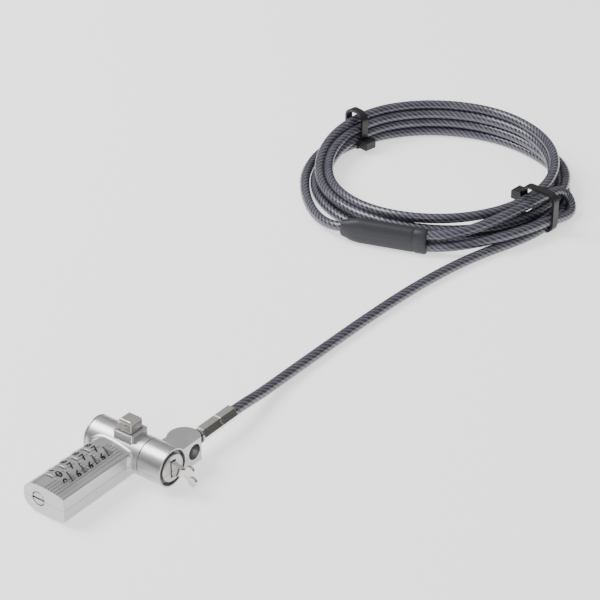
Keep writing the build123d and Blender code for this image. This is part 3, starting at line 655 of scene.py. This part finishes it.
# ---------------------------------------------------------------- cable
@dataclass
class Cable:
    """The whole steel cable: lead, coil, tail and the eye closed by the sleeve."""

    diameter: float = 4.4
    length: float = 2.03
    lay: float = 15.6
    ring_step: float = 1.5
    per_strand: int = 6
    groove: float = 0.02
    centre: tuple = (244.3, 51.5)
    start_deg: float = 262.2
    step_deg: float = 20.0
    turns: float = 4.5475
    last_gap_deg: float = 8.0
    exit: tuple = (40.0, 5.6, 0.0)
    lead: tuple = (
        (25.9, 5.6, 0.0),
        (45.4, 5.8, -0.3),
        (58.5, 7.2, -2.8),
        (76.0, 8.8, -4.5),
        (98.0, 9.3, -5.2),
        (125.0, 9.0, -5.2),
        (152.0, 8.1, -5.2),
        (178.0, 5.6, -5.2),
        (201.0, 0.9, -5.2),
        (219.0, -5.4, -5.2),
        (236.0, -9.0, -5.2),
    )
    tail: tuple = (
        (235.0, 109.9, -4.4),
        (222.0, 106.4, -4.9),
        (209.2, 99.6, -3.8),
        (197.8, 90.2, -4.9),
        (188.0, 79.0, -4.8),
        (181.4, 67.6, -3.6),
        (179.5, 57.5, -1.7),
        (185.2, 39.3, 0.0),
    )
    eye: tuple = (
        (191.0, 21.0, 1.2),
        (197.6, 11.2, 2.4),
        (207.6, 4.9, 4.0),
        (221.4, 0.2, 5.2),
        (235.6, -2.4, 5.4),
        (248.0, -3.4, 4.6),
        (257.0, -4.2, 3.4),
        (260.1, -7.5, -0.9),
        (257.0, -10.8, -5.2),
        (248.4, -11.4, -4.4),
        (236.4, -10.3, -1.3),
        (222.6, -7.0, -0.9),
        (208.4, -0.6, -1.0),
        (197.4, 8.8, -2.4),
        (191.0, 21.0, -4.6),
        (187.6, 31.8, -4.6),
    )
    # one row per pass round the coil: angle past the start, distance from the centre, height
    passes: tuple = (
        (
            (0, 61.0, -5.2), (20, 59.0, -5.2), (50, 55.8, -5.2),
            (80, 53.0, -5.2), (120, 51.4, -5.2), (165, 51.6, -5.2),
        ),
        (
            (-163, 53.6, -5.2), (-135, 54.8, -5.2), (-60, 54.5, -5.2),
            (0, 55.4, -5.2), (30, 54.4, -3.4), (50, 53.6, -1.4),
        ),
        (
            (-280, 52.2, -0.8), (-190, 51.8, -0.8), (-163, 50.2, -2.8),
            (-135, 50.3, -5.2), (-40, 50.1, -5.2), (0, 51.0, -5.0),
        ),
        (
            (-330, 50.4, -1.2), (-310, 51.2, 2.2), (-280, 52.3, 3.4),
            (-190, 52.0, 3.4), (-163, 50.4, 1.7), (-135, 48.3, 0.0),
        ),
        (
            (-455, 48.7, 1.3), (-420, 49.7, 3.05), (-360, 50.6, 5.0),
            (-320, 51.6, 6.4), (-260, 53.9, 7.2), (-190, 54.0, 7.15),
        ),
        (
            (-523, 54.0, 3.4), (-495, 52.6, -1.2), (-420, 51.3, -0.9),
            (-360, 54.3, -0.9), (-330, 56.8, 0.4), (-300, 57.6, -2.4),
        ),
        ((-620, 57.0, -5.0), (-550, 57.4, -5.2), (-523, 59.0, -4.6)),
    )

    def coil(self) -> np.ndarray:
        """Points of the coiled turns, each a step further round the centre.

        The distance and height at an angle come from straight interpolation in the table of
        passes. The distance is divided by the cosine of half a step, because the spline passes
        through the middles of its control polygon's sides.

        Returns:
            Control points in millimetres, shape (n, 3).
        """
        rows = ((360 * k + a, r, z) for k, row in enumerate(self.passes) for a, r, z in row)
        table = np.array(list(rows))
        angle = np.arange(self.step_deg, 360 * self.turns - self.last_gap_deg, self.step_deg)
        reach = np.interp(angle, table[:, 0], table[:, 1]) / cos(radians(self.step_deg / 2))
        height = np.interp(angle, table[:, 0], table[:, 2])
        a = np.radians(self.start_deg + angle)
        x, y = self.centre[0] + reach * np.cos(a), self.centre[1] + reach * np.sin(a)
        return np.stack([x, y, height], 1)

    def line(self) -> np.ndarray:
        """Draw one spline through all the stretches and read its points.

        Returns:
            The centre line in millimetres, shape (n, 3).
        """
        points = np.vstack([self.lead, self.coil(), self.tail, self.eye])
        weighted = np.hstack([points, np.ones((len(points), 1))]).astype(np.float32)
        data = bpy.data.curves.new("cable_line", "CURVE")
        data.dimensions = "3D"
        data.resolution_u = 8
        spline = data.splines.new("NURBS")
        spline.points.add(len(points) - 1)
        spline.points.foreach_set("co", weighted.ravel())
        spline.order_u = 3
        spline.use_endpoint_u = True
        holder = placed("cable_line", data)
        drawn = bpy.data.meshes.new_from_object(holder)
        path = np.zeros(len(drawn.vertices) * 3, np.float32)
        drawn.vertices.foreach_get("co", path)
        bpy.data.objects.remove(holder)
        bpy.data.meshes.remove(drawn)
        return path.reshape(-1, 3).astype(float)

    def build(self, palette: Palette, with_pieces: list) -> bpy.types.Object:
        """The section is a circle whose radius falls by the groove between strands, as
        1 - groove (1 - cos(strands a)) / 2, and it turns once in each lay length.

        Args:
            palette: Where the finish comes from.
            with_pieces: The pieces that go with the cable; not used.

        Returns:
            The cable.
        """
        path = self.line()
        run = np.concatenate([[0], np.cumsum(np.linalg.norm(np.diff(path, axis=0), axis=1))])
        s = np.linspace(0, run[-1], int(run[-1] / self.ring_step))
        centres = np.stack([np.interp(s, run, path[:, k]) for k in range(3)], 1)
        a = np.linspace(0, 2 * pi, STRANDS * self.per_strand, endpoint=False)
        radius = self.diameter / 2 * (1 - self.groove * (1 - np.cos(STRANDS * a)) / 2)
        profile = np.stack([radius * np.cos(a), radius * np.sin(a)], 1)
        points = sweep(centres, profile, -2 * pi * s / self.lay)
        piece = Surface(points).build("steel_cable", along=s)
        palette.dress(piece, Finish.CABLE)
        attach(piece, "cable")
        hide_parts("cable_run", "cable_coil", "cable_tail", "cable_eye")
        LOG.info("cable length %.3f m", run[-1] * MM)
        return piece


@dataclass
class Sleeve:
    """Moulded sleeve that closes the eye: tapered at one end, stepped near both."""

    start: tuple = (179.5, 57.5)
    end: tuple = (191.0, 21.0)
    middle_z: float = -1.7
    width: float = 7.4
    height: float = 11.4
    columns: int = 96
    square: float = 0.8
    line_mm: float = 0.1
    rows: tuple = (
        (0.0, 0.56, 0.50),
        (0.006, 0.66, 0.58),
        (0.02, 0.74, 0.64),
        (0.09, 0.86, 0.78),
        (0.105, 0.92, 0.84),
        (0.16, 0.965, 0.93),
        (0.22, 0.98, 0.985),
        (0.50, 0.98, 0.985),
        (0.835, 0.975, 0.98),
        (0.85, 0.93, 0.955),
        (0.865, 0.93, 0.955),
        (0.88, 0.995, 0.995),
        (0.975, 0.995, 0.995),
        (0.993, 0.95, 0.965),
        (1.0, 0.86, 0.90),
    )

    def build(self, palette: Palette) -> bpy.types.Object:
        """Loft a squarish round section along the sleeve, with a mould line on each flank.

        A section point at angle a is (w sgn(cos) |cos|^0.8, h sgn(sin) |sin|^0.8). The flanks
        are drawn in by a tenth of a millimetre, except in a narrow bell at mid height, where
        the mould line stands.

        Args:
            palette: Where the finish comes from.

        Returns:
            The sleeve.
        """
        table = np.array(self.rows)
        s = np.unique(np.concatenate([table[:, 0], np.linspace(0.2, 0.84, 24)]))
        w = np.interp(s, table[:, 0], table[:, 1]) * self.width / 2
        h = np.interp(s, table[:, 0], table[:, 2]) * self.height / 2
        a = np.linspace(0, 2 * pi, self.columns, endpoint=False)
        line = 0.96 * np.exp(-((np.sin(a) / 0.05) ** 2))
        x = np.sign(np.cos(a)) * np.abs(np.cos(a)) ** self.square
        y = np.sign(np.sin(a)) * np.abs(np.sin(a)) ** self.square
        inset = self.line_mm * np.sign(x) * (1 - line)
        profile = np.stack([w[:, None] * x - inset, h[:, None] * y], -1)
        first, last = np.array(self.start), np.array(self.end)
        flat = first[None] + (last - first)[None] * s[:, None]
        centres = np.column_stack([flat, np.full(len(s), self.middle_z)])
        piece = Surface(sweep(centres, profile, np.zeros(len(s)))).build("moulded_sleeve")
        palette.dress(piece, Finish.SLEEVE)
        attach(piece, "cable")
        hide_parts("eye_sleeve")
        return piece


# ---------------------------------------------------------------- numbers on the wheels
@dataclass
class WheelNumbers:
    """Black numbers filled into the rims of the four wheels."""

    wheels_x: tuple = (-32.15, -25.85, -19.55, -13.25)
    axis_y: float = 26.2
    axis_z: float = -0.6
    radius: float = 6.35
    front_digit: tuple = (9, 6, 6, 6)
    front_deg: float = 52.0
    digits: int = 10
    height: float = 3.1
    width: float = 1.06
    weight: float = 0.03
    proud: float = 0.02

    def glyph(self, digit: int) -> tuple[np.ndarray, np.ndarray]:
        """Cut one figure into triangles small enough to lie on the rim.

        Args:
            digit: The figure, from 0 to 9.

        Returns:
            Points one unit high about their middle, and the triangles between them.
        """
        data = bpy.data.curves.new("figure", "FONT")
        data.body = str(digit)
        data.size = 1.0
        data.offset = self.weight
        holder = placed("figure", data)
        mesh = bpy.data.meshes.new_from_object(holder)
        shape = bmesh.new()
        shape.from_mesh(mesh)
        for _ in range(2):
            bmesh.ops.subdivide_edges(shape, edges=shape.edges[:], cuts=1)
            bmesh.ops.triangulate(shape, faces=shape.faces[:])
        bmesh.ops.remove_doubles(shape, verts=shape.verts[:], dist=1e-5)
        points = np.array([v.co[:2] for v in shape.verts])
        faces = np.array([[v.index for v in f.verts] for f in shape.faces])
        shape.free()
        bpy.data.objects.remove(holder)
        bpy.data.meshes.remove(mesh)
        low, high = points.min(0), points.max(0)
        return (points - (low + high) / 2) / (high[1] - low[1]), faces

    def wrap(self, flat: np.ndarray, x: float, middle_deg: float) -> np.ndarray:
        """Bend a flat figure round the rim.

        A height h moves the angle by h over the radius towards +Y, and an angle a from +Z
        towards -Y lies at (-r sin a, r cos a) from the axis.

        Args:
            flat: Points along X and up, shape (n, 2).
            x: The middle of the wheel.
            middle_deg: The angle of the figure's middle.

        Returns:
            Points on the rim, shape (n, 3).
        """
        a = radians(middle_deg) - flat[:, 1] / self.radius
        r = self.radius + self.proud
        y, z = self.axis_y - r * np.sin(a), self.axis_z + r * np.cos(a)
        return np.stack([x + flat[:, 0], y, z], 1)

    def build(self, palette: Palette) -> None:
        """Make one piece of ten figures for each wheel.

        Args:
            palette: Where the finish comes from.
        """
        glyphs = [self.glyph(d) for d in range(self.digits)]
        for i, x in enumerate(self.wheels_x):
            points, faces, count = [], [], 0
            for k in range(self.digits):
                shape, tris = glyphs[(self.front_digit[i] + k) % self.digits]
                flat = shape * self.height * np.array([self.width, 1.0])
                points.append(self.wrap(flat, x, self.front_deg - k * 360 / self.digits))
                faces.append(tris + count)
                count += len(shape)
            mesh = bpy.data.meshes.new(f"numbers_{i + 1}")
            mesh.from_pydata((np.vstack(points) * MM).tolist(), [], np.vstack(faces).tolist())
            mesh.update()
            piece = placed(f"numbers_{i + 1}", mesh)
            palette.dress(piece, Finish.INK)
            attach(piece, f"wheel_{i + 1}")
            LOG.info("numbers on wheel %d", i + 1)


# ---------------------------------------------------------------- carried-over pieces
@dataclass
class Dressing:
    """Which finish each machined piece of the model gets."""

    finishes: dict = field(
        default_factory=lambda: {
            Finish.BODY: ("upper_shell", "lower_shell", "rear_cap", "swivel_collar"),
            Finish.BRIGHT: (
                "push_button",
                "ferrule",
                "swivel_stem",
                "hook_upper",
                "hook_lower",
                "frame_pin",
            ),
            Finish.STEEL: (
                "reset_screw",
                "shell_screws",
                "hook_pin",
                "button_spring",
                "click_spring",
                "dial_shaft",
            ),
            Finish.DARK_STEEL: ("retaining_ring", "actuator", "stem_washer"),
            Finish.NYLON: ("tie_left", "tie_right"),
        }
    )

    def apply(self, nodes: dict, palette: Palette) -> None:
        """Dress every named piece, the wheels and the cams.

        Args:
            nodes: The model's pieces by name.
            palette: Where the finishes come from.
        """
        table = dict(self.finishes)
        table[Finish.WHEEL] = tuple(n for n in nodes if n.startswith("dial_wheel_"))
        table[Finish.BRASS] = tuple(n for n in nodes if n.startswith("code_cam_"))
        for finish, names in table.items():
            for name in names:
                palette.dress(nodes[name], finish)
                LOG.info("%s: %s", name, finish.value)


def main() -> None:
    """Load the model, dress it, add the modelled pieces and light the table."""
    logging.basicConfig(level=logging.INFO, format="%(message)s")
    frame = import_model()
    palette = Palette()
    nodes = frame["nodes"]
    studio = Studio()
    studio.camera()
    sleeve = Sleeve().build(palette)
    Cable().build(palette, [sleeve, nodes["tie_left"], nodes["tie_right"], nodes["ferrule"]])
    Dressing().apply(nodes, palette)
    WheelNumbers().build(palette)
    studio.build()


if __name__ == "__main__":
    main()
